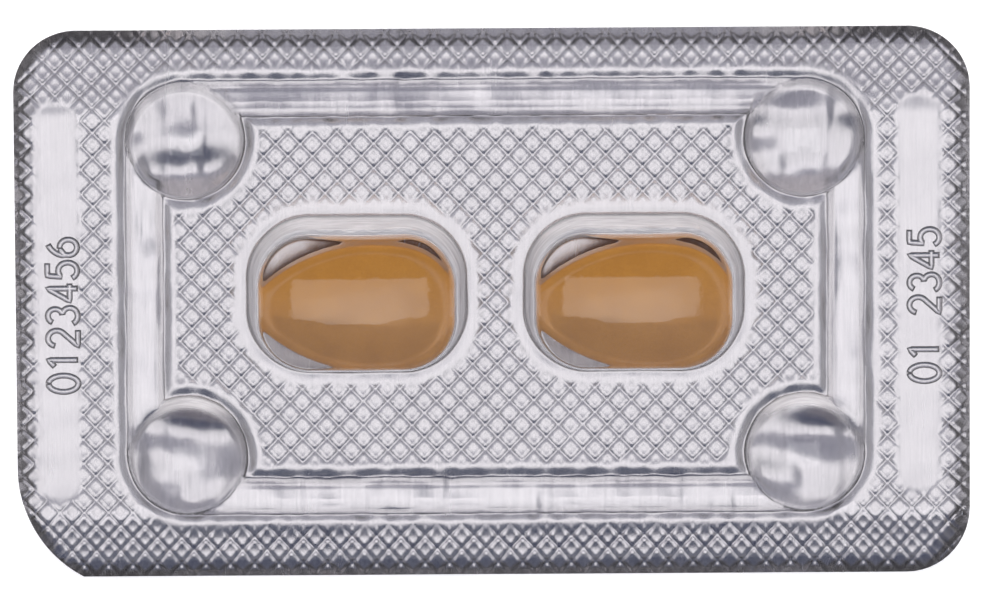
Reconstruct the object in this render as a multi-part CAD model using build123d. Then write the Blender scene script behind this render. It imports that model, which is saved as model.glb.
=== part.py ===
"""A two-pocket pill blister pack.

A clear formed film is heat sealed to a sheet of aluminium lidding foil.  Each of the two pockets
holds one film-coated, almond-shaped tablet.  Around the pockets runs a rectangle of low stiffening
ribs with an empty dome in each corner.

Frame: the pack lies on its foil with the pockets up (+Z).  X runs along the length and Y across
the width.  The origin is under the middle of the foil, on its outer face.
"""
from build123d import *
from math import asin, cos, radians, sin, sqrt, tan
import os

# Sheet outline
pack_length = 60.0
pack_width = 34.8
corner_radius = 4.0
cut_corner_radius = 7.5  # the corner at -X, -Y, which the straight edge cuts short
cut_corner_overrun = 0.8  # how far that corner's arc would run on past the edge

# Sheet thicknesses
foil_thickness = 0.04
film_thickness = 0.25  # as supplied, on the flange
wall_thickness = 0.2  # drawn thinner where the film is formed

# Tablets: an egg-shaped plan of tangent arcs, cut from an ellipsoid
tablet_length = 12.8
tablet_width = 8.0
tablet_thickness = 4.4
tablet_tip_radius = 1.8
tablet_broad_radius = 3.6
belly_share = 0.4  # height of the upright band at the ends, as a share of the thickness

# Room for a tablet in its pocket
end_room = 0.5
side_room = 1.0
head_room = 0.4
rest_gap = 0.02  # between a tablet and the foil under it
low_side_shift = 0.42  # both tablets lie towards the -Y side of their pockets

# Pockets
pocket_gap = 3.2  # land between the two pockets
pocket_corner_radius = 4.2
pocket_draft = 8.0  # degrees
pocket_crown = 0.95  # rise of the top's middle above its long edges
pocket_top_round = 0.4
pocket_foot_round = 0.3
pocket_offset_y = 0.2  # from the middle of the rib frame

# Rib frame with a dome in each corner
side_border = 6.55  # from the sheet's end to the frame
edge_border = 3.3  # from the sheet's long edge to the frame
frame_offset_x = 0.17
frame_offset_y = 0.24
rib_width = 2.8
rib_height = 0.8
rib_draft = 35.0  # degrees
rib_round = 0.35
dome_radius = 4.04
dome_wall_height = 2.1
dome_draft = 14.0  # degrees
dome_crown = 0.9  # rise of the rounded top above the wall
dome_shoulder_round = 0.9
pip_radius = 0.28  # mark of the forming vent on each dome
pip_height = 0.12

# What follows from those sizes
film_base = foil_thickness
frame_length = pack_length - 2 * side_border
frame_width = pack_width - 2 * edge_border
pocket_length = tablet_length + 2 * (end_room + wall_thickness)
pocket_width = tablet_width + 2 * (side_room + wall_thickness)
pocket_height = rest_gap + tablet_thickness + head_room + wall_thickness - film_thickness
pocket_places = [
    (
        frame_offset_x + side_x * (pocket_length + pocket_gap) / 2,
        frame_offset_y + pocket_offset_y,
    )
    for side_x in (-1, 1)
]
dome_places = [
    (
        frame_offset_x + side_x * (frame_length / 2 - dome_radius),
        frame_offset_y + side_y * (frame_width / 2 - dome_radius),
    )
    for side_x in (-1, 1)
    for side_y in (-1, 1)
]


def sheet_outline():
    """The die-cut outline: three round corners and one whose arc is cut through by the edge."""
    left, right = -pack_length / 2, pack_length / 2
    low, high = -pack_width / 2, pack_width / 2
    arc_x = left + cut_corner_radius
    arc_y = low + cut_corner_radius - cut_corner_overrun
    reach = sqrt(cut_corner_radius**2 - (arc_y - low) ** 2)
    turn = radians(225)
    middle = (arc_x + cut_corner_radius * cos(turn), arc_y + cut_corner_radius * sin(turn))
    with BuildSketch() as sketch:
        with BuildLine():
            cut_arc = ThreePointArc((left, arc_y), middle, (arc_x - reach, low))
            Polyline(cut_arc @ 1, (right, low), (right, high), (left, high), cut_arc @ 0)
        make_face()
        round_corners = sketch.vertices().filter_by(lambda v: v.X > right - 1 or v.Y > high - 1)
        fillet(round_corners, corner_radius)
    return sketch.sketch


def tablet_plan():
    """Egg-shaped plan, its tip towards -X: two end arcs joined by flank arcs tangent to both."""
    half_width = tablet_width / 2
    tip_x = tablet_tip_radius - tablet_length / 2
    broad_x = tablet_length / 2 - tablet_broad_radius
    span = broad_x - tip_x
    tip_spare = half_width - tablet_tip_radius
    broad_spare = half_width - tablet_broad_radius
    # The flank's middle lies this far behind the broad arc's: the root of a x**2 + b x + c = 0
    a = 1 / tip_spare - 1 / broad_spare
    b = -2 * span / tip_spare
    c = span**2 / tip_spare + tablet_tip_radius - tablet_broad_radius
    behind = (-b - sqrt(b**2 - 4 * a * c)) / (2 * a)
    flank_radius = (behind**2 / broad_spare + tablet_broad_radius + half_width) / 2
    flank_x = broad_x - behind
    flank_y = flank_radius - half_width

    def touch(centre_x, radius):
        reach = flank_radius - radius
        return (centre_x + radius * (centre_x - flank_x) / reach, radius * flank_y / reach)

    tip_x, tip_y = touch(tip_x, tablet_tip_radius)
    broad_x, broad_y = touch(broad_x, tablet_broad_radius)
    with BuildSketch() as sketch:
        with BuildLine():
            ThreePointArc((tip_x, -tip_y), (-tablet_length / 2, 0), (tip_x, tip_y))
            ThreePointArc((tip_x, tip_y), (flank_x, half_width), (broad_x, broad_y))
            ThreePointArc((broad_x, broad_y), (tablet_length / 2, 0), (broad_x, -broad_y))
            ThreePointArc((broad_x, -broad_y), (flank_x, -half_width), (tip_x, -tip_y))
        make_face()
    return sketch.sketch


def crown_form(length, width, top):
    """A tall ellipsoid whose top is the crown of a pocket of that length and width."""
    upright = 10 * pocket_crown
    reach = sqrt(1 - (1 - pocket_crown / upright) ** 2)
    ellipsoid = scale(Sphere(1), (length / 2 / reach, width / 2 / reach, upright))
    return Pos(0, 0, top - upright) * ellipsoid


def pocket_form(inset):
    """The drafted, crowned pocket on the flange's underside; the cavity is the same form inset."""
    top = film_thickness + pocket_height - inset
    lean = tan(radians(pocket_draft))
    spread = film_thickness * lean - inset
    outline = RectangleRounded(
        pocket_length + 2 * spread, pocket_width + 2 * spread, pocket_corner_radius + spread
    )
    walls = extrude(outline, top, taper=pocket_draft)
    narrowing = 2 * (inset + pocket_height * lean)
    crown = crown_form(pocket_length - narrowing, pocket_width - narrowing, top)
    form = walls & crown
    rim = form.edges().filter_by(lambda e: e.center().Z > top / 2 and e.length > 1.5)
    rim = [e for e in rim if abs(e.start_point().Z - e.end_point().Z) < top / 4]
    return fillet(rim, max(pocket_top_round - inset, wall_thickness / 2))


def dome_form(inset):
    """A turned dome: drafted wall, rounded shoulder, shallow crown, and outside a vent pip."""
    lean = tan(radians(dome_draft))
    foot = dome_radius + film_thickness * lean - inset
    wall_top = film_thickness + dome_wall_height - inset
    shoulder = foot - wall_top * lean
    crown_top = wall_top + dome_crown
    crown_radius = (shoulder**2 + dome_crown**2) / (2 * dome_crown)
    half_turn = asin(shoulder / crown_radius) / 2
    crown_middle = (
        crown_radius * sin(half_turn),
        crown_top - crown_radius * (1 - cos(half_turn)),
    )
    with BuildPart() as dome:
        with BuildSketch(Plane.XZ):
            with BuildLine():
                Polyline((0, crown_top), (0, 0), (foot, 0), (shoulder, wall_top))
                ThreePointArc((shoulder, wall_top), crown_middle, (0, crown_top))
            face = make_face()
            fillet(face.vertices().sort_by(Axis.X)[-2], dome_shoulder_round - inset)
        revolve(axis=Axis.Z)
    form = dome.part
    if inset == 0:
        form += Pos(0, 0, crown_top) * Cylinder(pip_radius, 2 * pip_height)
    return form


def rib_form(length, inset):
    """A low channel with slanted sides and rounded upper edges, running along X."""
    height = film_thickness + rib_height - inset
    spread = film_thickness * tan(radians(rib_draft))
    outline = Rectangle(length, rib_width + 2 * (spread - inset))
    form = extrude(outline, height, taper=rib_draft)
    top = form.edges().group_by(Axis.Z)[-1]
    return fillet(top.filter_by(Axis.X), max(rib_round - inset, wall_thickness / 2))


def rib_frame(inset):
    """Four ribs between the corner domes, flush with the domes' outer sides."""
    middle = Pos(frame_offset_x, frame_offset_y)
    across = frame_width / 2 - rib_width / 2
    along = frame_length / 2 - rib_width / 2
    long_rib = rib_form(frame_length - 2 * dome_radius, inset)
    short_rib = rib_form(frame_width - 2 * dome_radius, inset)
    forms = [middle * Pos(0, side * across) * long_rib for side in (-1, 1)]
    forms += [middle * Pos(side * along, 0) * Rot(0, 0, 90) * short_rib for side in (-1, 1)]
    return forms


def pocket_forms(inset):
    """Both pockets at their places."""
    return [Pos(x, y) * pocket_form(inset) for x, y in pocket_places]


def stiffener_forms(inset):
    """The rib frame and its four corner domes."""
    return rib_frame(inset) + [Pos(x, y) * dome_form(inset) for x, y in dome_places]


def blister_film():
    """The formed film: flange and raised forms, hollow from below."""
    body = extrude(sheet_outline(), film_thickness) + pocket_forms(0)
    near = film_thickness / 100
    feet = body.edges().filter_by_position(Axis.Z, film_thickness - near, film_thickness + near)
    feet = feet.filter_by_position(Axis.Y, -frame_width / 2, frame_width / 2)
    feet = feet.filter_by_position(Axis.X, -frame_length / 2, frame_length / 2)
    body = fillet(feet, pocket_foot_round) + stiffener_forms(0)
    body -= stiffener_forms(wall_thickness) + pocket_forms(wall_thickness)
    return Pos(0, 0, film_base) * body


def lidding_foil():
    """The flat sheet that closes every pocket, the same outline as the film."""
    return extrude(sheet_outline(), foil_thickness)


def tablet():
    """A biconvex tablet with an upright belly band, its underside at z = 0."""
    swell = 1 / sqrt(1 - belly_share**2)
    ellipsoid = scale(
        Sphere(1),
        (
            swell * tablet_length / 2,
            swell * tablet_width / 2,
            tablet_thickness / 2,
        ),
    )
    band = Pos(0, 0, -tablet_thickness / 2) * extrude(tablet_plan(), tablet_thickness)
    return Pos(0, 0, tablet_thickness / 2) * (band & ellipsoid)


nodes = {
    "blister_film": blister_film(),
    "lidding_foil": lidding_foil(),
}
for name, (place_x, place_y) in zip(("tablet_left", "tablet_right"), pocket_places):
    spot = Pos(place_x, place_y - low_side_shift, foil_thickness + rest_gap)
    nodes[name] = spot * tablet()

os.makedirs("parts", exist_ok=True)
for name, shape in nodes.items():
    export_step(shape, f"parts/{name}.step")
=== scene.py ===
"""The looks of a two-tablet blister pack: clear formed film over embossed aluminium lidding foil."""
import math

import bpy
import numpy as np
from mathutils import Matrix, Vector
from mathutils.geometry import delaunay_2d_cdt


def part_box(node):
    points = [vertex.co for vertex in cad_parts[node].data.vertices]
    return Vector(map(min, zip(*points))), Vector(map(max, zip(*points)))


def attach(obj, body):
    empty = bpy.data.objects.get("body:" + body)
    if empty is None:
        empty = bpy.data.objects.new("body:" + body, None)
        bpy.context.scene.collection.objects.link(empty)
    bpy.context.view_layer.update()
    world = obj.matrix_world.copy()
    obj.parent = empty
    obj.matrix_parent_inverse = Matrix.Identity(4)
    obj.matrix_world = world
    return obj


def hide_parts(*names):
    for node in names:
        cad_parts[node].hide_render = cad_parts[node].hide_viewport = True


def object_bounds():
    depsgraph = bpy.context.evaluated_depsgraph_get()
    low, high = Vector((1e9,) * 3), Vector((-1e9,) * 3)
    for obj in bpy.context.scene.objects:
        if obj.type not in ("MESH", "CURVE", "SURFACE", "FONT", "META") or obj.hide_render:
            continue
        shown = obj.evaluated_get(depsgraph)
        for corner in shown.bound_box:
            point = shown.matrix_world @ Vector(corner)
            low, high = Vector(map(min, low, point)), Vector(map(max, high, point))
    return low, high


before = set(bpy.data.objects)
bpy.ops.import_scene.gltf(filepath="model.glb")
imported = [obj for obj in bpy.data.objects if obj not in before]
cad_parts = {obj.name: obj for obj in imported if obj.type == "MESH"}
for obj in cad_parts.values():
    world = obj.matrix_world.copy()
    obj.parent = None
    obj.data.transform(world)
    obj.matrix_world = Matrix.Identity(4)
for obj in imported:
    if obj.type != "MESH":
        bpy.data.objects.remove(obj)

cad_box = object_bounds()

# ---------------------------------------------------------------- sizes, in millimetres
MM = 0.001


def box_mm(node):
    """Opposite corners of a CAD node's box, in millimetres."""
    low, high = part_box(node)
    return np.array(low) / MM, np.array(high) / MM


film_top = box_mm("blister_film")[1][2]
foil_low, foil_high = box_mm("lidding_foil")
pack_length = foil_high[0] - foil_low[0]
pack_width = foil_high[1] - foil_low[1]
foil_thickness = foil_high[2] - foil_low[2]
film_thickness = 0.25
wall_thickness = 0.2
bond_depth = 0.02  # the foil is bedded this far into the film's underside
flange_top = foil_high[2] + film_thickness

# The sheet's outline; the corner at -X -Y is cut differently from the other three
corner_radius = 4.0
cut_corner_radius = 7.5
cut_corner_overrun = 0.8  # its arc would reach this far past the -Y edge

# A ring of four stiffening ribs with a dome on each corner, around both pockets
side_border = 6.55
edge_border = 3.3
frame_centre = np.array([0.17, 0.24])
frame_length = pack_length - 2 * side_border
frame_width = pack_width - 2 * edge_border
rib_width = 2.8
rib_height = 0.8
rib_draft = 35.0
dome_radius = 4.04
dome_wall_height = 2.1
dome_crown = 0.9
dome_draft = 14.0
pip_radius = 0.3  # of the vent mark on top of a dome
pip_height = 0.1

pocket_length = 14.2
pocket_width = 10.4
pocket_corner_radius = 4.2
pocket_draft = 8.0
pocket_height = film_top - flange_top
crown_radii = (21.0, 8.5)  # of the pocket's domed top, along X and along Y
low_side_shift = 0.42  # the tablets lie this far to the -Y side of their pockets

# How each face of the film turns from one surface into the next: outer face, inner face
foot_rounds = (0.32, 0.15)
rib_rounds = (0.4, 0.2)
dome_rounds = (0.9, 0.7)
rim_softness = (2.6, 0.5)  # how widely a pocket's wall rolls over into its top
dome_shoulder = 0.5  # slope in radians at which a dome's wall gives way to its cap
stiffener_blend = 0.12  # softens the line where a rib runs into a dome

tablets = {}
for side in ("left", "right"):
    tablets[side] = box_mm("tablet_" + side)
pockets = [
    ((low[0] + high[0]) / 2, (low[1] + high[1]) / 2 + low_side_shift)
    for low, high in tablets.values()
]
domes = [
    (
        frame_centre[0] + sx * (frame_length / 2 - dome_radius),
        frame_centre[1] + sy * (frame_width / 2 - dome_radius),
    )
    for sx in (-1, 1)
    for sy in (-1, 1)
]

# Seal pattern: diamonds between two families of crossing lines
diamond_length = 1.535
diamond_width = 1.566
diamond_centre = np.array([-14.33, 11.55])
seal_margin = 0.62  # smooth band left around everything that is formed
seal_fade = 0.16  # the pattern fades out over this width
seal_ragged = 0.1  # its border strays by this much
pearl_radius = 2.6  # of curvature, at the top of each pearl between the lines
line_height = 0.036
line_share = 0.062  # half width of a line, as a share of a diamond
groove_share = 0.118  # a line's flanks end here
valley_depth = 0.05  # of the lines' feet below the pearls' tops

# The foil's own shape away from the pattern
rib_lift = 0.17  # it stands this much higher under the ribs and domes
rib_scallop = 0.04  # and this much more or less along them
pocket_lift = 0.04
strip_lift = 0.05
dome_bulge = 0.3  # further rise under the middle of a dome
dome_buckle = 0.13  # height of its waves there
lid_slack = 0.04  # height of its waves wherever it is not bonded
seal_unevenness = 0.01  # height of its waves everywhere
tablet_gap = 0.01  # kept between the foil and a tablet's belly
tablet_room = 0.6  # the foil may stand this much higher past the tablet's outline

# Code strips, one near each end
strip_width = 2.7
strip_length = 25.7
strip_corner_share = 0.45  # corner radius, as a share of the strip's width
strips = {"left": (-27.35, -0.05), "right": (26.85, 0.3)}
codes = {"left": "0123456", "right": "01 2345"}
code_shift = (0.3, -0.8)  # of a code's middle from its strip's
digit_height = 2.1
digit_pitch = 1.45
stroke_width = 0.42
stroke_height = 0.07


# ---------------------------------------------------------------- plan distances
def smooth(value, start, end):
    """0 up to start, 1 from end on, smooth between."""
    t = np.clip((value - start) / (end - start), 0.0, 1.0)
    return t * t * (3 - 2 * t)


def rounded_box(x, y, length, width, radius):
    """Distance outside a rounded rectangle about the origin; negative inside."""
    qx = np.abs(x) - length / 2 + radius
    qy = np.abs(y) - width / 2 + radius
    outside = np.hypot(np.maximum(qx, 0), np.maximum(qy, 0))
    return outside + np.minimum(np.maximum(qx, qy), 0) - radius


def pocket_depth(x, y):
    """How far inside the nearer pocket's outline a point lies."""
    depths = [
        -rounded_box(x - px, y - py, pocket_length, pocket_width, pocket_corner_radius)
        for px, py in pockets
    ]
    return np.maximum(*depths)


def dome_depth(x, y):
    """How far inside the nearest dome's outline a point lies."""
    distances = [np.hypot(x - dx, y - dy) for dx, dy in domes]
    return dome_radius - np.minimum.reduce(distances)


def rib_depth(x, y):
    """How far inside the ring of four ribs a point lies, from its nearer side."""
    ring = rounded_box(
        x - frame_centre[0],
        y - frame_centre[1],
        frame_length - rib_width,
        frame_width - rib_width,
        dome_radius - rib_width / 2,
    )
    return rib_width / 2 - np.abs(ring)


def formed_depth(x, y):
    """How far inside whatever is drawn up from the flat a point lies."""
    return np.maximum.reduce([pocket_depth(x, y), dome_depth(x, y), rib_depth(x, y)])


def strip_depth(x, y):
    """How far inside the nearer code strip's outline a point lies."""
    depths = [
        -rounded_box(x - sx, y - sy, strip_width, strip_length, strip_width * strip_corner_share)
        for sx, sy in strips.values()
    ]
    return np.maximum(*depths)


# ---------------------------------------------------------------- small smooth unevenness
class Waves:
    """A seeded sum of plane waves: smooth unevenness of a given wavelength."""

    def __init__(self, seed, wavelength):
        count = 14
        spread = 0.45  # share by which the wavelengths differ
        dice = np.random.RandomState(seed)
        turn = dice.uniform(0, 2 * math.pi, count)
        lengths = wavelength * (1 + spread * dice.uniform(-1, 1, count))
        self.kx = 2 * math.pi * np.cos(turn) / lengths
        self.ky = 2 * math.pi * np.sin(turn) / lengths
        self.phase = dice.uniform(0, 2 * math.pi, count)
        self.scale = 1 / math.sqrt(count)

    def __call__(self, x, y):
        total = np.zeros_like(x)
        for kx, ky, phase in zip(self.kx, self.ky, self.phase):
            total += np.sin(kx * x + ky * y + phase)
        return total * self.scale


slow_waves = Waves(3, 13.0)
seal_waves = Waves(7, 3.2)
edge_waves = Waves(11, 1.9)
lid_waves = Waves(19, 4.5)
dome_waves = Waves(23, 4.4)

# Both long edges of the sheet curl up: at -Y and +Y, the distance from the middle line
# at which the bend starts, the distance at which it is full, and the slope it ends with
low_curl = (13.2, 14.3, 0.228)
high_curl = (11.4, 12.4, 0.135)
slow_wave_height = 0.02


def curl(x, y):
    """Height that the sheet's long edges and its slow waves add to everything."""
    height = 0.0
    for side, (start, full, slope) in ((-1, low_curl), (1, high_curl)):
        t = np.clip((side * y - start) / (full - start), 0, 1)
        bend = (full - start) * (t**3 - t**4 / 2)
        height = height + slope * (bend + np.maximum(side * y - full, 0))
    return height + slow_wave_height * (1 + slow_waves(x, y) / 2)


# ---------------------------------------------------------------- the formed film's section
def rounded_foot(slope, foot_round, steps):
    """Distances and heights where the flat turns up into a wall of this slope."""
    turns = np.linspace(0, slope, steps)
    return foot_round * np.sin(turns), foot_round * (1 - np.cos(turns))


def closed_wall(height, draft, foot_round, top_round, top_slope=0.0):
    """Section through a formed wall, from its foot to where its rounded top has this slope."""
    steps = 5
    wall = math.radians(90 - draft)
    foot_x, foot_z = rounded_foot(wall, foot_round, steps)
    turns = np.linspace(wall, top_slope, steps)
    top_x = top_round * (math.sin(wall) - np.sin(turns))
    top_z = top_round * (np.cos(turns) - math.cos(wall))
    rise = height - foot_z[-1] - top_z[-1]
    run = rise / math.tan(wall)
    t = np.array((0.25, 0.5, 0.75))
    distances = (foot_x, foot_x[-1] + t * run, foot_x[-1] + run + top_x)
    heights = (foot_z, foot_z[-1] + t * rise, foot_z[-1] + rise + top_z)
    return np.concatenate(distances), np.concatenate(heights)


def open_wall(height, draft, foot_round):
    """A rounded foot and the straight wall above it, run on well past the top."""
    wall = math.radians(90 - draft)
    distances, heights = rounded_foot(wall, foot_round, 6)
    past = 2 * height
    distances = np.append(distances, distances[-1] + past / math.tan(wall))
    return distances, np.append(heights, heights[-1] + past)


def crown_drop(x, y):
    """How far the nearer pocket's domed top has fallen from its middle."""
    (left_x, left_y), (right_x, right_y) = pockets
    near_left = np.abs(x - left_x) < np.abs(x - right_x)
    from_x = x - np.where(near_left, left_x, right_x)
    from_y = y - np.where(near_left, left_y, right_y)
    return from_x**2 / (2 * crown_radii[0]) + from_y**2 / (2 * crown_radii[1])


class FormedSkin:
    """One face of the film: the outer one, or the inner one a wall's thickness inside it."""

    def __init__(self, inner):
        self.base = foil_high[2] - bond_depth if inner else flange_top
        drop = flange_top - self.base
        extra = drop - wall_thickness if inner else 0.0

        def inset(draft):
            return wall_thickness - drop * math.tan(math.radians(draft)) if inner else 0.0

        foot = foot_rounds[inner]
        dome_top = dome_wall_height + extra
        self.pocket_inset = inset(pocket_draft)
        self.rib_inset = inset(rib_draft)
        self.dome_inset = inset(dome_draft)
        self.pocket_top = pocket_height + extra
        self.pocket = open_wall(self.pocket_top, pocket_draft, foot)
        self.softness = rim_softness[inner]
        self.rib = closed_wall(rib_height + extra, rib_draft, foot, rib_rounds[inner])
        self.dome = closed_wall(dome_top, dome_draft, foot, dome_rounds[inner], dome_shoulder)
        self.pip = 0.0 if inner else pip_height

    def height(self, x, y):
        """Height of this face, with the wall and top of each form blended together."""
        wall = np.interp(pocket_depth(x, y) - self.pocket_inset, *self.pocket)
        crown = self.pocket_top - crown_drop(x, y)
        near = np.clip(1 - np.abs(wall - crown) / self.softness, 0, 1)
        pocket = np.minimum(wall, crown) - near**2 * self.softness / 4
        pocket = np.maximum(pocket, 0)
        rib = np.interp(rib_depth(x, y) - self.rib_inset, *self.rib)
        depth = dome_depth(x, y) - self.dome_inset
        cap_start = self.dome[0][-1]
        cap_radius = dome_radius - self.dome_inset - cap_start
        share = np.clip(1 - (depth - cap_start) / cap_radius, 0, 1)
        cap = dome_crown * (1 - share**2) * (depth > cap_start)
        from_apex = dome_radius - dome_depth(x, y)
        pip = self.pip * (1 - smooth(from_apex, 0.0, pip_radius))
        dome = np.interp(depth, *self.dome) + cap + pip
        blended = np.sqrt((rib - dome) ** 2 + stiffener_blend**2) - stiffener_blend
        stiffener = (rib + dome + blended) / 2
        return self.base + np.maximum(pocket, stiffener) + curl(x, y)


# ---------------------------------------------------------------- outlines
def arc(centre, radius, start, end, steps):
    """Points on a circle, from one angle to another in degrees."""
    turns = np.radians(np.linspace(start, end, steps))
    return [(centre[0] + radius * math.cos(t), centre[1] + radius * math.sin(t)) for t in turns]


def spread(points, spacing, closed=True):
    """The same line with points no further apart than the spacing."""
    result = []
    ends = points[1:] + points[:1] if closed else points[1:]
    for a, b in zip(points, ends):
        count = max(1, int(math.ceil(math.dist(a, b) / spacing)))
        for i in range(count):
            t = i / count
            result.append((a[0] + (b[0] - a[0]) * t, a[1] + (b[1] - a[1]) * t))
    return result


def sheet_outline(spacing):
    """Three round corners and, at -X -Y, a wider arc cut short by the straight edge."""
    left, right = foil_low[0], foil_high[0]
    low, high = foil_low[1], foil_high[1]
    r = corner_radius
    steps = 14
    cut = (left + cut_corner_radius, low + cut_corner_radius - cut_corner_overrun)
    last = 180 + math.degrees(math.asin((cut[1] - low) / cut_corner_radius))
    points = arc(cut, cut_corner_radius, 180, last, 20)
    points += arc((right - r, low + r), r, -90, 0, steps)
    points += arc((right - r, high - r), r, 0, 90, steps)
    points += arc((left + r, high - r), r, 90, 180, steps)
    return spread(points, spacing)


def box_outline(centre, length, width, radius, spacing):
    """A rounded rectangle."""
    steps = max(6, int(radius * math.pi / 2 / spacing))
    reach_x = length / 2 - radius
    reach_y = width / 2 - radius
    points = []
    for sx, sy, start in ((1, -1, -90), (1, 1, 0), (-1, 1, 90), (-1, -1, 180)):
        middle = (centre[0] + sx * reach_x, centre[1] + sy * reach_y)
        points += arc(middle, radius, start, start + 90, steps)
    return spread(points, spacing)


# ---------------------------------------------------------------- meshes
# The widest gaps between neighbouring points of the film
pocket_spacing = 0.3
rib_spacing = 0.45
outline_spacing = 0.7
flange_spacing = 1.5


def smooth_piece(name, vertices, faces, material):
    """A smooth-shaded piece on the pack's one body, from vertices in millimetres."""
    mesh = bpy.data.meshes.new(name)
    mesh.from_pydata((np.asarray(vertices, float) * MM).tolist(), [], faces)
    mesh.validate()
    piece = bpy.data.objects.new(name, mesh)
    bpy.context.scene.collection.objects.link(piece)
    mesh.polygons.foreach_set("use_smooth", [True] * len(mesh.polygons))
    mesh.materials.append(material)
    mesh.update()
    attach(piece, "root")
    return piece


def plan_triangles(outline, rings):
    """Triangles inside the outline whose sides follow every ring, and each point's sources."""
    points = [Vector(p) for p in outline]
    count = len(points)
    edges = [(i, (i + 1) % count) for i in range(count)]
    for ring, closed in rings:
        first = len(points)
        points += [Vector(p) for p in ring]
        last = len(points)
        edges += [(i, i + 1) for i in range(first, last - 1)]
        if closed:
            edges.append((last - 1, first))
    result = delaunay_2d_cdt(points, edges, [], 1, 1e-5)
    plan = np.array([tuple(p) for p in result[0]])
    return plan, [tuple(f) for f in result[2]], result[3]


def skin_rings(skin):
    """Lines on which the skin's section bends, for the pockets, domes and ribs."""
    rings = []
    rim_drop = 1.3  # height between a pocket's top and where its wall starts to roll over
    lean = math.tan(math.radians(pocket_draft))
    foot = skin.pocket[0][-2]
    rim = foot + (skin.pocket_top - rim_drop) * lean
    across = [foot + (rim - foot) * t for t in (0.2, 0.4, 0.6, 0.75)]
    across += [rim + t for t in (-0.1, -0.05, 0, 0.04, 0.08, 0.12, 0.17, 0.23, 0.3, 0.4, 0.55)]
    across += [rim + t for t in (0.8, 1.1, 1.5, 1.9, 2.4, 2.9, 3.4)]
    least_radius = 0.5
    for place in pockets:
        for d in list(skin.pocket[0][:-1]) + across:
            d += skin.pocket_inset
            radius = max(pocket_corner_radius - d, least_radius)
            length = pocket_length - 2 * d
            width = pocket_width - 2 * d
            rings.append((box_outline(place, length, width, radius, pocket_spacing), True))
    full_radius = dome_radius - skin.dome_inset
    cap_start = skin.dome[0][-1]
    cap = list(np.linspace(cap_start + 0.3, full_radius - 0.12, 10))
    for place in domes:
        for d in list(skin.dome[0]) + cap:
            radius = full_radius - d
            count = 84 if radius > 1 else 28
            rings.append((arc(place, radius, 0, 360 * (1 - 1 / count), count), True))
    for d in list(skin.rib[0]) + [rib_width / 2 - skin.rib_inset]:
        for side in (-1, 1):
            off = rib_width / 2 - skin.rib_inset - d
            if off < 1e-6 and side < 0:
                continue
            grow = side * off
            outline = box_outline(
                frame_centre,
                frame_length - rib_width + 2 * grow,
                frame_width - rib_width + 2 * grow,
                dome_radius - rib_width / 2 + grow,
                rib_spacing,
            )
            rings += open_runs(outline)
    return rings


def open_runs(outline):
    """The stretches of a rib's line that lie outside the domes, or only just inside."""
    x, y = np.array(outline).T
    run_on_share = 0.12
    outside = dome_depth(x, y) < dome_radius * run_on_share
    start = int(np.argmin(outside))
    runs = []
    run = []
    for i in range(len(outline)):
        j = (start + i) % len(outline)
        if outside[j]:
            run.append(outline[j])
        elif run:
            runs.append((run, False))
            run = []
    return runs + ([(run, False)] if run else [])


def flange_points(spacing):
    """Loose points over the flat of the film, so that it can follow the sheet's waves."""
    form_clearance = 0.4
    edge_clearance = 0.5
    rings = []
    rows = np.arange(foil_low[1] + spacing, foil_high[1], spacing)
    for row, y in enumerate(rows):
        start = foil_low[0] + spacing + spacing / 2 * (row % 2)
        for x in np.arange(start, foil_high[0] - spacing / 2, spacing):
            px, py = np.array([x]), np.array([y])
            clear = formed_depth(px, py)[0] < -form_clearance
            if clear and sheet_depth(px, py)[0] > edge_clearance:
                rings.append(([(x, y)], False))
    return rings


def sheet_depth(x, y):
    """How far inside the sheet's outline a point lies."""
    depth = -rounded_box(
        x - (foil_low[0] + foil_high[0]) / 2,
        y - (foil_low[1] + foil_high[1]) / 2,
        pack_length,
        pack_width,
        corner_radius,
    )
    cut_x = foil_low[0] + cut_corner_radius
    cut_y = foil_low[1] + cut_corner_radius - cut_corner_overrun
    in_corner = (x < cut_x) & (y < cut_y)
    arc_depth = cut_corner_radius - np.hypot(x - cut_x, y - cut_y)
    corner = np.minimum(arc_depth, y - foil_low[1])
    return np.where(in_corner, np.minimum(corner, x - foil_low[0]), depth)


def blister_film(material):
    """Outer and inner skins, joined by the sheet's cut edge."""
    outline = sheet_outline(outline_spacing)
    vertices = []
    faces = []
    borders = []
    for inner in (False, True):
        skin = FormedSkin(inner)
        rings = skin_rings(skin) + flange_points(flange_spacing)
        plan, triangles, sources = plan_triangles(outline, rings)
        x, y = plan.T
        first = len(vertices)
        vertices += np.column_stack((x, y, skin.height(x, y))).tolist()
        for a, b, c in triangles:
            ax, ay = plan[b] - plan[a]
            bx, by = plan[c] - plan[a]
            faces_up = ax * by - ay * bx > 0
            if faces_up == inner:
                b, c = c, b
            faces.append((a + first, b + first, c + first))
        border = {}
        for index, source in enumerate(sources):
            for s in source:
                if s < len(outline):
                    border[s] = index + first
        borders.append([border[i] for i in range(len(outline))])
    upper, lower = borders
    for i in range(len(outline)):
        j = (i + 1) % len(outline)
        faces.append((upper[i], lower[i], lower[j], upper[j]))
    return smooth_piece("film_shell", vertices, faces, material)


# ---------------------------------------------------------------- the lidding foil
def seal_mask(x, y):
    """1 where the seal pattern is pressed in, 0 on what is formed, its margin and the strips."""
    ragged = seal_ragged * edge_waves(x, y)
    clear = -formed_depth(x, y) - seal_margin + ragged
    outside_strip = -strip_depth(x, y) + ragged
    return smooth(np.minimum(clear, outside_strip), 0.0, seal_fade)


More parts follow.
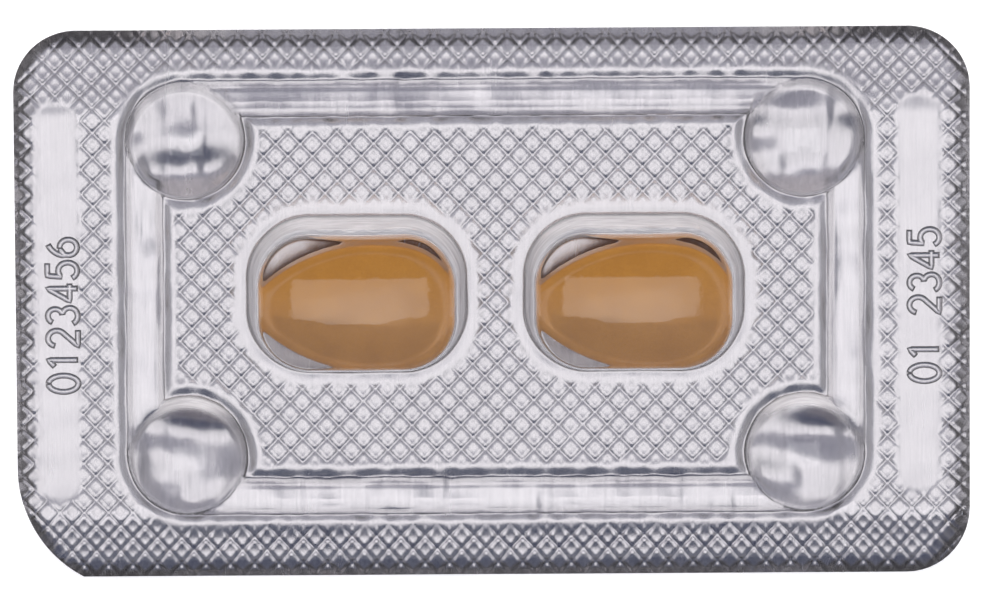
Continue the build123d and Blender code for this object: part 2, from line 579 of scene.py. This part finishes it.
def diamond_relief(u, v):
    """Pearls between narrow raised lines; u and v are whole numbers at a pearl's middle."""
    tu = 0.5 - np.abs(u - np.round(u))
    tv = 0.5 - np.abs(v - np.round(v))
    from_x = (u - np.round(u) + v - np.round(v)) * diamond_length / 2
    from_y = (u - np.round(u) - v + np.round(v)) * diamond_width / 2
    pearl = -(from_x**2 + from_y**2) / (2 * pearl_radius)
    line = 1 - smooth(np.minimum(tu, tv), line_share, groove_share)
    return pearl * (1 - line) - valley_depth * line + valley_depth + line_height * line


def foil_height(x, y, u, v):
    """Height of the foil's inner face over its bonded level, before the sheet's curl."""
    stiffener = np.maximum(rib_depth(x, y), dome_depth(x, y))
    scallop = rib_lift + rib_scallop * edge_waves(x, y * 0.3)
    lift = scallop * smooth(stiffener, -0.4, 0.4)
    lift += pocket_lift * smooth(pocket_depth(x, y), -0.3, 0.3)
    lift += strip_lift * smooth(strip_depth(x, y), -0.2, 0.25)
    under_dome = np.clip(dome_depth(x, y) / dome_radius, 0, 1)
    free = smooth(under_dome, 0, 0.3)
    bulge = dome_bulge * (1 - (1 - under_dome) ** 2) * free
    uneven = seal_unevenness * seal_waves(x, y)
    uneven += lid_slack * lid_waves(x, y) * smooth(formed_depth(x, y), 0.0, 0.9)
    uneven += dome_buckle * dome_waves(x * 0.3, y) * free
    return diamond_relief(u, v) * seal_mask(x, y) + lift + bulge + uneven


def foil_level(x, y, u, v):
    """Height of the foil's inner face; under each tablet it stays flat, clear of the belly."""
    level = foil_high[2] + foil_height(x, y, u, v) + curl(x, y)
    for low, high in tablets.values():
        middle = (low + high) / 2
        half = (high - low) / 2
        share = np.hypot((x - middle[0]) / half[0], (y - middle[1]) / half[1])
        room = low[2] - tablet_gap + tablet_room * smooth(share, 0.35, 1.2)
        level = np.minimum(level, np.where(share < 1.4, room, np.inf))
    return np.maximum(level, foil_thickness)


def diamond_coordinates(x, y):
    """Places along the two families of seal lines, counted in diamonds."""
    along = (x - diamond_centre[0]) / diamond_length
    across = (y - diamond_centre[1]) / diamond_width
    return along + across, along - across


def diamond_grid(shares):
    """A grid along the two families of seal lines; shares are the stops across one diamond."""
    corner_x = np.array([foil_low[0], foil_high[0]] * 2)
    corner_y = np.repeat([foil_low[1], foil_high[1]], 2)
    reach = math.ceil(np.abs(diamond_coordinates(corner_x, corner_y)).max()) + 1
    steps = (np.arange(-reach, reach + 1)[:, None] + np.array(shares)[None, :]).ravel()
    u, v = np.meshgrid(steps, steps, indexing="ij")
    x = diamond_centre[0] + diamond_length * (u + v) / 2
    y = diamond_centre[1] + diamond_width * (u - v) / 2
    depth = sheet_depth(x, y)
    cell_depth = (depth[:-1, :-1] + depth[1:, 1:] + depth[1:, :-1] + depth[:-1, 1:]) / 4
    i, j = np.nonzero(cell_depth > 0)
    columns = len(steps)
    corner = i * columns + j
    quads = np.column_stack((corner, corner + 1, corner + columns + 1, corner + columns))
    used, quads = np.unique(quads, return_inverse=True)
    quads = quads.reshape(-1, 4)
    x, y, u, v = (a.ravel()[used] for a in (x, y, u, v))
    return x, y, u, v, quads


def border_pairs(quads, count):
    """Sides on the edge of a grid of quads with this many vertices, as pairs in face order."""
    sides = np.concatenate([quads[:, [k, (k + 1) % 4]] for k in range(4)])
    low = sides.min(1).astype(np.int64)
    high = sides.max(1).astype(np.int64)
    key = low * count + high
    _, index, times = np.unique(key, return_index=True, return_counts=True)
    return sides[index[times == 1]]


def snap_to_outline(x, y, which):
    """Moves the border's vertices onto the sheet's outline, along its steepest approach."""
    px = x[which]
    py = y[which]
    step = 1e-3
    least_slope = 0.3
    for _ in range(4):
        d = sheet_depth(px, py)
        gx = (sheet_depth(px + step, py) - sheet_depth(px - step, py)) / (2 * step)
        gy = (sheet_depth(px, py + step) - sheet_depth(px, py - step)) / (2 * step)
        steepness = np.maximum(np.hypot(gx, gy), least_slope) ** 2
        px = px - d * gx / steepness
        py = py - d * gy / steepness
    x[which] = px
    y[which] = py


def foil_face(shares):
    """Plan, height, quads and border of the foil's inner face at one fineness."""
    x, y, u, v, quads = diamond_grid(shares)
    border = border_pairs(quads, len(x))
    snap_to_outline(x, y, np.unique(border))
    return x, y, foil_level(x, y, u, v), quads, border


def lidding_foil(material):
    """The foil's inner face, pressed with the seal, and its outer face with the cut edge."""
    line = line_share
    groove = groove_share
    fine = [-0.5 - line, -0.5 + line, -0.5 + groove, -0.2, 0.0, 0.2, 0.5 - groove]
    x, y, z, quads, _ = foil_face(fine)
    vertices = np.column_stack((x, y, z))
    face = smooth_piece("foil_inner_face", vertices, quads[:, ::-1].tolist(), material)

    coarse = [-0.5, -0.5 + groove, 0.0, 0.5 - groove]
    x, y, z, quads, border = foil_face(coarse)
    under = np.maximum(z - foil_thickness, 0.0)
    count = len(x)
    rim = np.unique(border)
    rim_top = {int(k): count + n for n, k in enumerate(rim)}
    vertices = np.column_stack((x, y, under)).tolist()
    vertices += np.column_stack((x[rim], y[rim], z[rim])).tolist()
    faces = quads.tolist()
    faces += [(int(b), int(a), rim_top[int(a)], rim_top[int(b)]) for a, b in border]
    back = smooth_piece("foil_outer_face", vertices, faces, material)
    return face, back


# ---------------------------------------------------------------- tablets
tablet_tip_radius = 2.1
tablet_broad_radius = 3.85
tablet_outline_steps = 120
cup_share = 0.86  # the cup ends in a faint edge at this share of the outline
cup_land = 0.38  # drop from the cup's edge down to the band
cup_power = 2.05  # of the fall from the middle of a cup
land_power = 1.8
band_half = 0.8  # half the height of the band around the middle
band_straight_share = 0.8
end_room = 0.12  # the coated tablet is this much shorter than its CAD solid


def tablet_outline(length, width):
    """An egg-shaped outline of tangent arcs about the middle, with its tip towards -X."""
    steps = tablet_outline_steps
    half = width / 2
    tip_x = tablet_tip_radius - length / 2
    broad_x = length / 2 - tablet_broad_radius
    span = broad_x - tip_x
    tip_spare = half - tablet_tip_radius
    broad_spare = half - tablet_broad_radius
    a = 1 / tip_spare - 1 / broad_spare
    b = -2 * span / tip_spare
    c = span**2 / tip_spare + tablet_tip_radius - tablet_broad_radius
    behind = (-b - math.sqrt(b * b - 4 * a * c)) / (2 * a)
    flank = (behind**2 / broad_spare + tablet_broad_radius + half) / 2
    flank_x = broad_x - behind
    flank_y = flank - half
    tip_turn = math.degrees(math.atan2(flank_y, tip_x - flank_x))
    broad_turn = math.degrees(math.atan2(flank_y, broad_x - flank_x))
    upper = arc((broad_x, 0), tablet_broad_radius, 0, broad_turn, steps // 4)
    upper += arc((flank_x, -flank_y), flank, broad_turn, tip_turn, steps // 2)[1:]
    upper += arc((tip_x, 0), tablet_tip_radius, tip_turn, 180, steps // 4)[1:]
    lower = [(px, -py) for px, py in upper[-2:0:-1]]
    return np.array(upper + lower)


def coated_tablet(name, low, high, material):
    """Two shallow cups on an egg-shaped band, as rings from the upper pole to the lower."""
    length, width, thickness = high - low
    outline = tablet_outline(length - end_room, width)
    half = thickness / 2
    rise = half - band_half
    shares = list(np.linspace(0.06, cup_share, 22)) + [0.885, 0.91, 0.94, 0.965, 0.985, 0.997]
    cup = []
    for s in shares:
        if s <= cup_share:
            z = half - (rise - cup_land) * (s / cup_share) ** cup_power
        else:
            t = (s - cup_share) / (1 - cup_share)
            z = band_half + cup_land * math.sqrt(max(0.0, 1 - t**land_power))
        cup.append((s, z))
    straight = band_half * band_straight_share
    sections = cup + [(1.0, z) for z in np.linspace(straight, -straight, 7)]
    sections += [(s, -z) for s, z in reversed(cup)]
    centre = (low + high) / 2
    vertices = [centre + np.array((0, 0, half))]
    for s, z in sections:
        ring = outline * s
        vertices += [centre + np.array((px, py, z)) for px, py in ring]
    vertices.append(centre - np.array((0, 0, half)))
    n = len(outline)
    faces = [(0, 1 + i, 1 + (i + 1) % n) for i in range(n)]
    for k in range(len(sections) - 1):
        a = 1 + k * n
        for i in range(n):
            j = (i + 1) % n
            faces.append((a + i, a + n + i, a + n + j, a + j))
    last = len(vertices) - 1
    base = last - n
    faces += [(last, base + (i + 1) % n, base + i) for i in range(n)]
    return smooth_piece(name, vertices, faces, material)


# ---------------------------------------------------------------- embossed digits
digit_box = 1.6  # a numeral is drawn in a box this tall and one wide
digit_squeeze = 0.95


def bow(centre, reach, start, end, steps=14):
    """Part of an ellipse, from one angle to another in degrees."""
    turns = np.radians(np.linspace(start, end, steps))
    return [(centre[0] + reach[0] * math.cos(t), centre[1] + reach[1] * math.sin(t)) for t in turns]


two_foot = [(0.1, 0.08), (0.92, 0.08)]
three_top = bow((0.48, 1.16), (0.36, 0.36), 160, -80)
three_bowl = bow((0.48, 0.46), (0.42, 0.38), 85, -160, 16)
five_flag = [(0.86, 1.52), (0.22, 1.52), (0.16, 0.86)]
six_stem = bow((1.0, 0.62), (0.92, 0.92), 178, 112, 10)
digit_strokes = {
    "0": bow((0.5, 0.8), (0.42, 0.72), 90, 450, 28),
    "1": [(0.2, 1.2), (0.55, 1.52), (0.55, 0.08)],
    "2": bow((0.5, 1.1), (0.4, 0.42), 170, -40) + two_foot,
    "3": three_top + three_bowl,
    "4": [(0.72, 0.06), (0.72, 1.52), (0.08, 0.46), (0.98, 0.46)],
    "5": five_flag + bow((0.47, 0.54), (0.42, 0.46), 130, -155, 16),
    "6": bow((0.5, 0.5), (0.4, 0.42), 100, -260, 24) + six_stem,
}
ridge_flank = [(0.5, -0.3), (0.44, 0.35), (0.27, 0.95)]  # shares of a stroke's width and height


def add_ridge(points, vertices, faces):
    """Adds a low raised stroke with slanted sides along an open line."""
    line = np.array(points, float)
    ahead = np.gradient(line, axis=0)
    ahead /= np.maximum(np.linalg.norm(ahead, axis=1), 1e-9)[:, None]
    across = np.column_stack((-ahead[:, 1], ahead[:, 0]))
    section = [(-off, up) for off, up in ridge_flank] + [(0.0, 1.0)] + ridge_flank[::-1]
    first = len(vertices)
    for p, a in zip(line, across):
        for off, up in section:
            q = p + a * off * stroke_width
            vertices.append((q[0], q[1], up * stroke_height))
    n = len(section)
    for i in range(len(line) - 1):
        for k in range(n - 1):
            a = first + i * n + k
            faces.append((a, a + n, a + n + 1, a + 1))
    last = first + (len(line) - 1) * n
    faces.append(tuple(range(first, first + n)))
    faces.append(tuple(range(last + n - 1, last - 1, -1)))


def code_digits(name, text, strip, material):
    """A row of plain numerals raised on a strip, reading towards +Y."""
    vertices = []
    faces = []
    scale = digit_height / digit_box
    centre_x = strip[0] + code_shift[0]
    start_y = strip[1] + code_shift[1] - digit_pitch * (len(text) - 1) / 2
    spacing = 0.16
    for place, digit in enumerate(text):
        if digit == " ":
            continue
        stroke = digit_strokes[digit]
        middle_y = start_y + place * digit_pitch
        turned = []
        for px, py in spread(stroke, spacing / scale, closed=False) + stroke[-1:]:
            x = centre_x - (py - digit_box / 2) * scale
            turned.append((x, middle_y + (px - 0.5) * scale * digit_squeeze))
        add_ridge(turned, vertices, faces)
    array = np.array(vertices)
    x = array[:, 0]
    y = array[:, 1]
    u, v = diamond_coordinates(x, y)
    array[:, 2] += foil_high[2] + foil_height(x, y, u, v) + curl(x, y)
    return smooth_piece(name, array, faces, material)


# ---------------------------------------------------------------- shader building
class Socket:
    """An output socket on which arithmetic adds Math nodes."""

    def __init__(self, shader, socket):
        self.shader = shader
        self.socket = socket

    def math(self, operation, *others):
        return self.shader.math(operation, self, *others)

    def __add__(self, other):
        return self.math("ADD", other)

    __radd__ = __add__

    def __mul__(self, other):
        return self.math("MULTIPLY", other)

    __rmul__ = __mul__

    def __sub__(self, other):
        return self.math("SUBTRACT", other)

    def __rsub__(self, other):
        return self.shader.math("SUBTRACT", other, self)

    def clamp(self, low, high):
        return self.math("MAXIMUM", low).math("MINIMUM", high)

    def step(self, start, end):
        """0 below start, 1 above end, smooth between."""
        node = self.shader.node(
            "ShaderNodeMapRange",
            {"interpolation_type": "SMOOTHSTEP"},
            {"Value": self, "From Min": start, "From Max": end},
        )
        return node.out("Result")


class Node:
    """A node whose outputs are reached as sockets."""

    def __init__(self, shader, node):
        self.shader = shader
        self.node = node

    def out(self, key):
        return Socket(self.shader, self.node.outputs[key])


class Shader:
    """One material's or world's node tree."""

    def __init__(self, owner):
        owner.use_nodes = True
        self.tree = owner.node_tree
        self.tree.nodes.clear()

    def node(self, kind, settings=None, inputs=None):
        """A new node: its settings are made first, then its sockets' values and links."""
        node = self.tree.nodes.new(kind)
        for key, value in (settings or {}).items():
            setattr(node, key, value)
        if isinstance(inputs, dict):
            pairs = inputs.items()
        else:
            pairs = enumerate(inputs or ())
        for key, value in pairs:
            target = node.inputs[key]
            if isinstance(value, Socket):
                self.tree.links.new(value.socket, target)
            else:
                target.default_value = value
        return Node(self, node)

    def math(self, operation, *values):
        return self.node("ShaderNodeMath", {"operation": operation}, values).out(0)

    def position(self, scale=(1, 1, 1)):
        """Place on the object in millimetres, stretched by scale."""
        place = self.node("ShaderNodeTexCoord").out("Object")
        settings = {"operation": "MULTIPLY"}
        factor = tuple(s / MM for s in scale)
        return self.node("ShaderNodeVectorMath", settings, (place, factor)).out(0)

    def noise(self, scale, stretch=(1, 1, 1), detail=2.0, rough=0.5):
        """Noise with this many waves to a millimetre, drawn out where the stretch is small."""
        inputs = {
            "Vector": self.position(stretch),
            "Scale": scale,
            "Detail": detail,
            "Roughness": rough,
        }
        return self.node("ShaderNodeTexNoise", {}, inputs).out("Fac")

    def mix(self, factor, first, second):
        """From the first colour at 0 to the second at 1."""
        colours = [c if isinstance(c, Socket) else (*c, 1) for c in (first, second)]
        inputs = {0: factor, 6: colours[0], 7: colours[1]}  # the node's sockets for colours
        return self.node("ShaderNodeMix", {"data_type": "RGBA"}, inputs).out(2)

    def bump(self, height, distance):
        """Normal from a height between 0 and 1 that stands for the distance in millimetres."""
        inputs = {"Distance": distance * MM, "Height": height}
        return self.node("ShaderNodeBump", {}, inputs).out("Normal")

    def principled(self, inputs):
        return self.node("ShaderNodeBsdfPrincipled", {}, inputs).out("BSDF")

    def choose(self, factor, first, second):
        """From the first shader at 0 to the second at 1."""
        return self.node("ShaderNodeMixShader", {}, (factor, first, second)).out("Shader")

    def axis(self, vector, letter):
        return self.node("ShaderNodeSeparateXYZ", {}, (vector,)).out(letter)

    def surface(self, shader):
        self.node("ShaderNodeOutputMaterial", {}, {"Surface": shader})


def new_material(name):
    material = bpy.data.materials.new(name)
    return material, Shader(material)


# ---------------------------------------------------------------- materials
def rolled_foil():
    """Bright aluminium with the fine lines that rolling leaves along Y."""
    material, sh = new_material("rolled_foil")
    fine = sh.noise(7.0, (1, 0.03, 1), 3.0, 0.6)
    broad = sh.noise(1.6, (1, 0.05, 1))
    cloud = sh.noise(0.35)
    tone = (fine * 0.5 + broad * 0.3 + cloud * 0.2).step(0.3, 0.7)
    inputs = {
        "Base Color": sh.mix(tone, (0.69, 0.655, 0.65), (0.81, 0.77, 0.76)),
        "Metallic": 1.0,
        "Roughness": (0.17 + fine * 0.1 + broad * 0.06).clamp(0.05, 0.6),
        "Normal": sh.bump(fine * 0.6 + broad * 0.4, 0.003),
    }
    sh.surface(sh.principled(inputs))
    return material


def clear_film():
    """Clear glossy plastic, hazy on the steep walls where it was drawn, where the whitish haze is
    also a painted reflection of the foil; lamps shine through it.
    """
    material, sh = new_material("clear_film")
    wave = sh.noise(0.8)
    grain = sh.noise(5.0, (1, 1, 0.4))
    glass_inputs = {
        "Base Color": (0.985, 0.985, 0.99, 1),
        "Roughness": 0.02,
        "IOR": 1.5,
        "Transmission Weight": 1.0,
        "Normal": sh.bump(wave * 0.85 + grain * 0.15, 0.012),
    }
    glass = sh.principled(glass_inputs)
    # whitish haze on the steep walls: partly the drawn film's own haze, partly a painted reflection
    # of the foil in them
    haze_and_painted_reflection = sh.principled({"Base Color": (0.95, 0.91, 0.91, 1), "Roughness": 0.35})
    upright = sh.axis(sh.node("ShaderNodeNewGeometry").out("True Normal"), "Z")
    steep = 1 - upright.math("ABSOLUTE").step(0.15, 0.75)
    # the painted reflection is kept mostly to the walls of the pockets, less on the ribs
    in_pockets = 1 - sh.axis(sh.position(), "Y").math("ABSOLUTE").step(6.5, 8.0) * 0.8
    bands = sh.noise(2.2, (0.25, 0.25, 1.6))
    # glass mixed with the haze and painted reflection on the steep walls
    drawn = sh.choose(steep * in_pockets * (0.2 + bands * 0.45), glass, haze_and_painted_reflection)
    clear_inputs = {"Color": (0.93, 0.93, 0.94, 1)}
    clear = sh.node("ShaderNodeBsdfTransparent", {}, clear_inputs).out("BSDF")
    shadow = sh.node("ShaderNodeLightPath").out("Is Shadow Ray")
    sh.surface(sh.choose(shadow, drawn, clear))
    return material


def tablet_coat():
    """Ochre film coating with a fine orange-peel grain and faint mottling."""
    material, sh = new_material("tablet_coat")
    cloud = sh.noise(0.5, detail=3.0)
    speck = sh.noise(9.0, rough=0.6)
    tone = (cloud * 0.5 + speck * 0.5).step(0.32, 0.68)
    inputs = {
        "Base Color": sh.mix(tone, (0.47, 0.205, 0.030), (0.56, 0.255, 0.040)),
        "Roughness": (0.3 + speck * 0.14).clamp(0.1, 0.8),
        "Normal": sh.bump(speck, 0.008),
        "Coat Weight": 0.6,
        "Coat Roughness": 0.16,
    }
    sh.surface(sh.principled(inputs))
    return material


def pale_floor():
    """White paper under the pack: lit, so that it keeps the shadow, with a glow of its own."""
    material, sh = new_material("pale_floor")
    path = sh.node("ShaderNodeLightPath")
    seen = path.out("Is Camera Ray") + path.out("Is Glossy Ray") + path.out("Is Transmission Ray")
    colour = sh.mix(sh.noise(0.02), (0.86, 0.86, 0.86), (0.9, 0.9, 0.9))
    paper = sh.node("ShaderNodeBsdfDiffuse", {}, {"Color": colour}).out("BSDF")
    glow_inputs = {"Color": (1, 1, 1, 1), "Strength": seen.clamp(0, 1) * 0.6}
    glow = sh.node("ShaderNodeEmission", {}, glow_inputs).out("Emission")
    sh.surface(sh.node("ShaderNodeAddShader", {}, (paper, glow)).out("Shader"))
    return material


# ---------------------------------------------------------------- the studio
low_side_grey = (0.34, 0.35, 0.43)
high_side_blue = (0.03, 0.045, 0.105)
horizon_grey = (0.42, 0.42, 0.45)
white = (1.0, 1.0, 1.0)

camera_tilt = 10.0  # degrees from straight above, towards +Y
camera_roll = 0.35
camera_aim = (0.46, 0.2)
view_width = 62.9
sensor_width = 36

# In metres
camera_distance = 0.9
view_depth = 10
floor_half = 1.5
floor_gap = 0.00001


def studio_world():
    """Grey room, darker and bluer towards +Y, paler low down and at the sides; white when seen."""
    world = bpy.data.worlds.new("studio")
    bpy.context.scene.world = world
    sh = Shader(world)
    direction = sh.node("ShaderNodeTexCoord").out("Generated")
    dx, dy, dz = (sh.axis(direction, letter) for letter in "XYZ")
    room = sh.mix(dy.step(-0.55, 0.35), low_side_grey, high_side_blue)
    sides = dx.math("ABSOLUTE").step(0.3, 0.8)
    room = sh.mix(sides * 0.8, room, horizon_grey)
    room = sh.mix(dz.math("ABSOLUTE").step(0.2, 0.6), horizon_grey, room)
    seen = sh.node("ShaderNodeLightPath").out("Is Camera Ray")
    shade = sh.mix(seen, room, white)
    background = sh.node("ShaderNodeBackground", {}, {"Color": shade}).out("Background")
    sh.node("ShaderNodeOutputWorld", {}, {"Surface": background})


def area_light(name, tilt, distance, half_x, half_y, radiance, mirrored=True):
    """A flat lamp aimed at the pack: tilt towards +Y and half widths seen from it, in degrees."""
    data = bpy.data.lights.new(name, "AREA")
    data.shape = "RECTANGLE"
    data.size = 2 * distance * math.tan(math.radians(half_x))
    data.size_y = 2 * distance * math.tan(math.radians(half_y))
    data.energy = radiance * math.pi * data.size * data.size_y
    lamp = bpy.data.objects.new(name, data)
    bpy.context.scene.collection.objects.link(lamp)
    turn = math.radians(tilt)
    lamp.location = (0, distance * math.sin(turn), distance * math.cos(turn))
    lamp.rotation_euler = (-turn, 0, 0)
    lamp.visible_camera = False
    lamp.visible_glossy = mirrored
    lamp.visible_transmission = mirrored


def studio_camera():
    """A long lens that looks down on the pack from slightly towards +Y."""
    data = bpy.data.cameras.new("camera")
    data.sensor_width = sensor_width
    data.lens = sensor_width * camera_distance / (view_width * MM)
    data.clip_end = view_depth
    camera = bpy.data.objects.new("camera", data)
    bpy.context.scene.collection.objects.link(camera)
    turn = math.radians(camera_tilt)
    offset = Vector((0, math.sin(turn), math.cos(turn))) * camera_distance
    camera.location = Vector((camera_aim[0] * MM, camera_aim[1] * MM, 0)) + offset
    tilt = Matrix.Rotation(-turn, 4, "X")
    twist = Matrix.Rotation(math.radians(-camera_roll), 4, "Z")
    camera.rotation_euler = (tilt @ twist).to_euler()
    bpy.context.scene.camera = camera


def floor():
    """A square sheet just under the pack."""
    level = cad_box[0][2] - floor_gap
    corners = [
        (-floor_half, -floor_half, level),
        (floor_half, -floor_half, level),
        (floor_half, floor_half, level),
        (-floor_half, floor_half, level),
    ]
    mesh = bpy.data.meshes.new("floor")
    mesh.from_pydata(corners, [], [(0, 1, 2, 3)])
    mesh.materials.append(pale_floor())
    piece = bpy.data.objects.new("floor", mesh)
    bpy.context.scene.collection.objects.link(piece)


# ---------------------------------------------------------------- build
foil = rolled_foil()
film = clear_film()
coat = tablet_coat()

for piece in lidding_foil(foil):
    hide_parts("lidding_foil")
shell = blister_film(film)
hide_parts("blister_film")
for side, (low, high) in tablets.items():
    piece = coated_tablet("coated_tablet_" + side, low, high, coat)
    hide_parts("tablet_" + side)
for side, code in codes.items():
    piece = code_digits("code_" + side, code, strips[side], foil)

floor()
studio_world()
area_light("softbox", tilt=-4, distance=0.7, half_x=23, half_y=17, radiance=1.0)
area_light("fill", tilt=48, distance=1.2, half_x=25, half_y=25, radiance=3.9, mirrored=False)
studio_camera()
bpy.context.scene.view_settings.view_transform = "Standard"
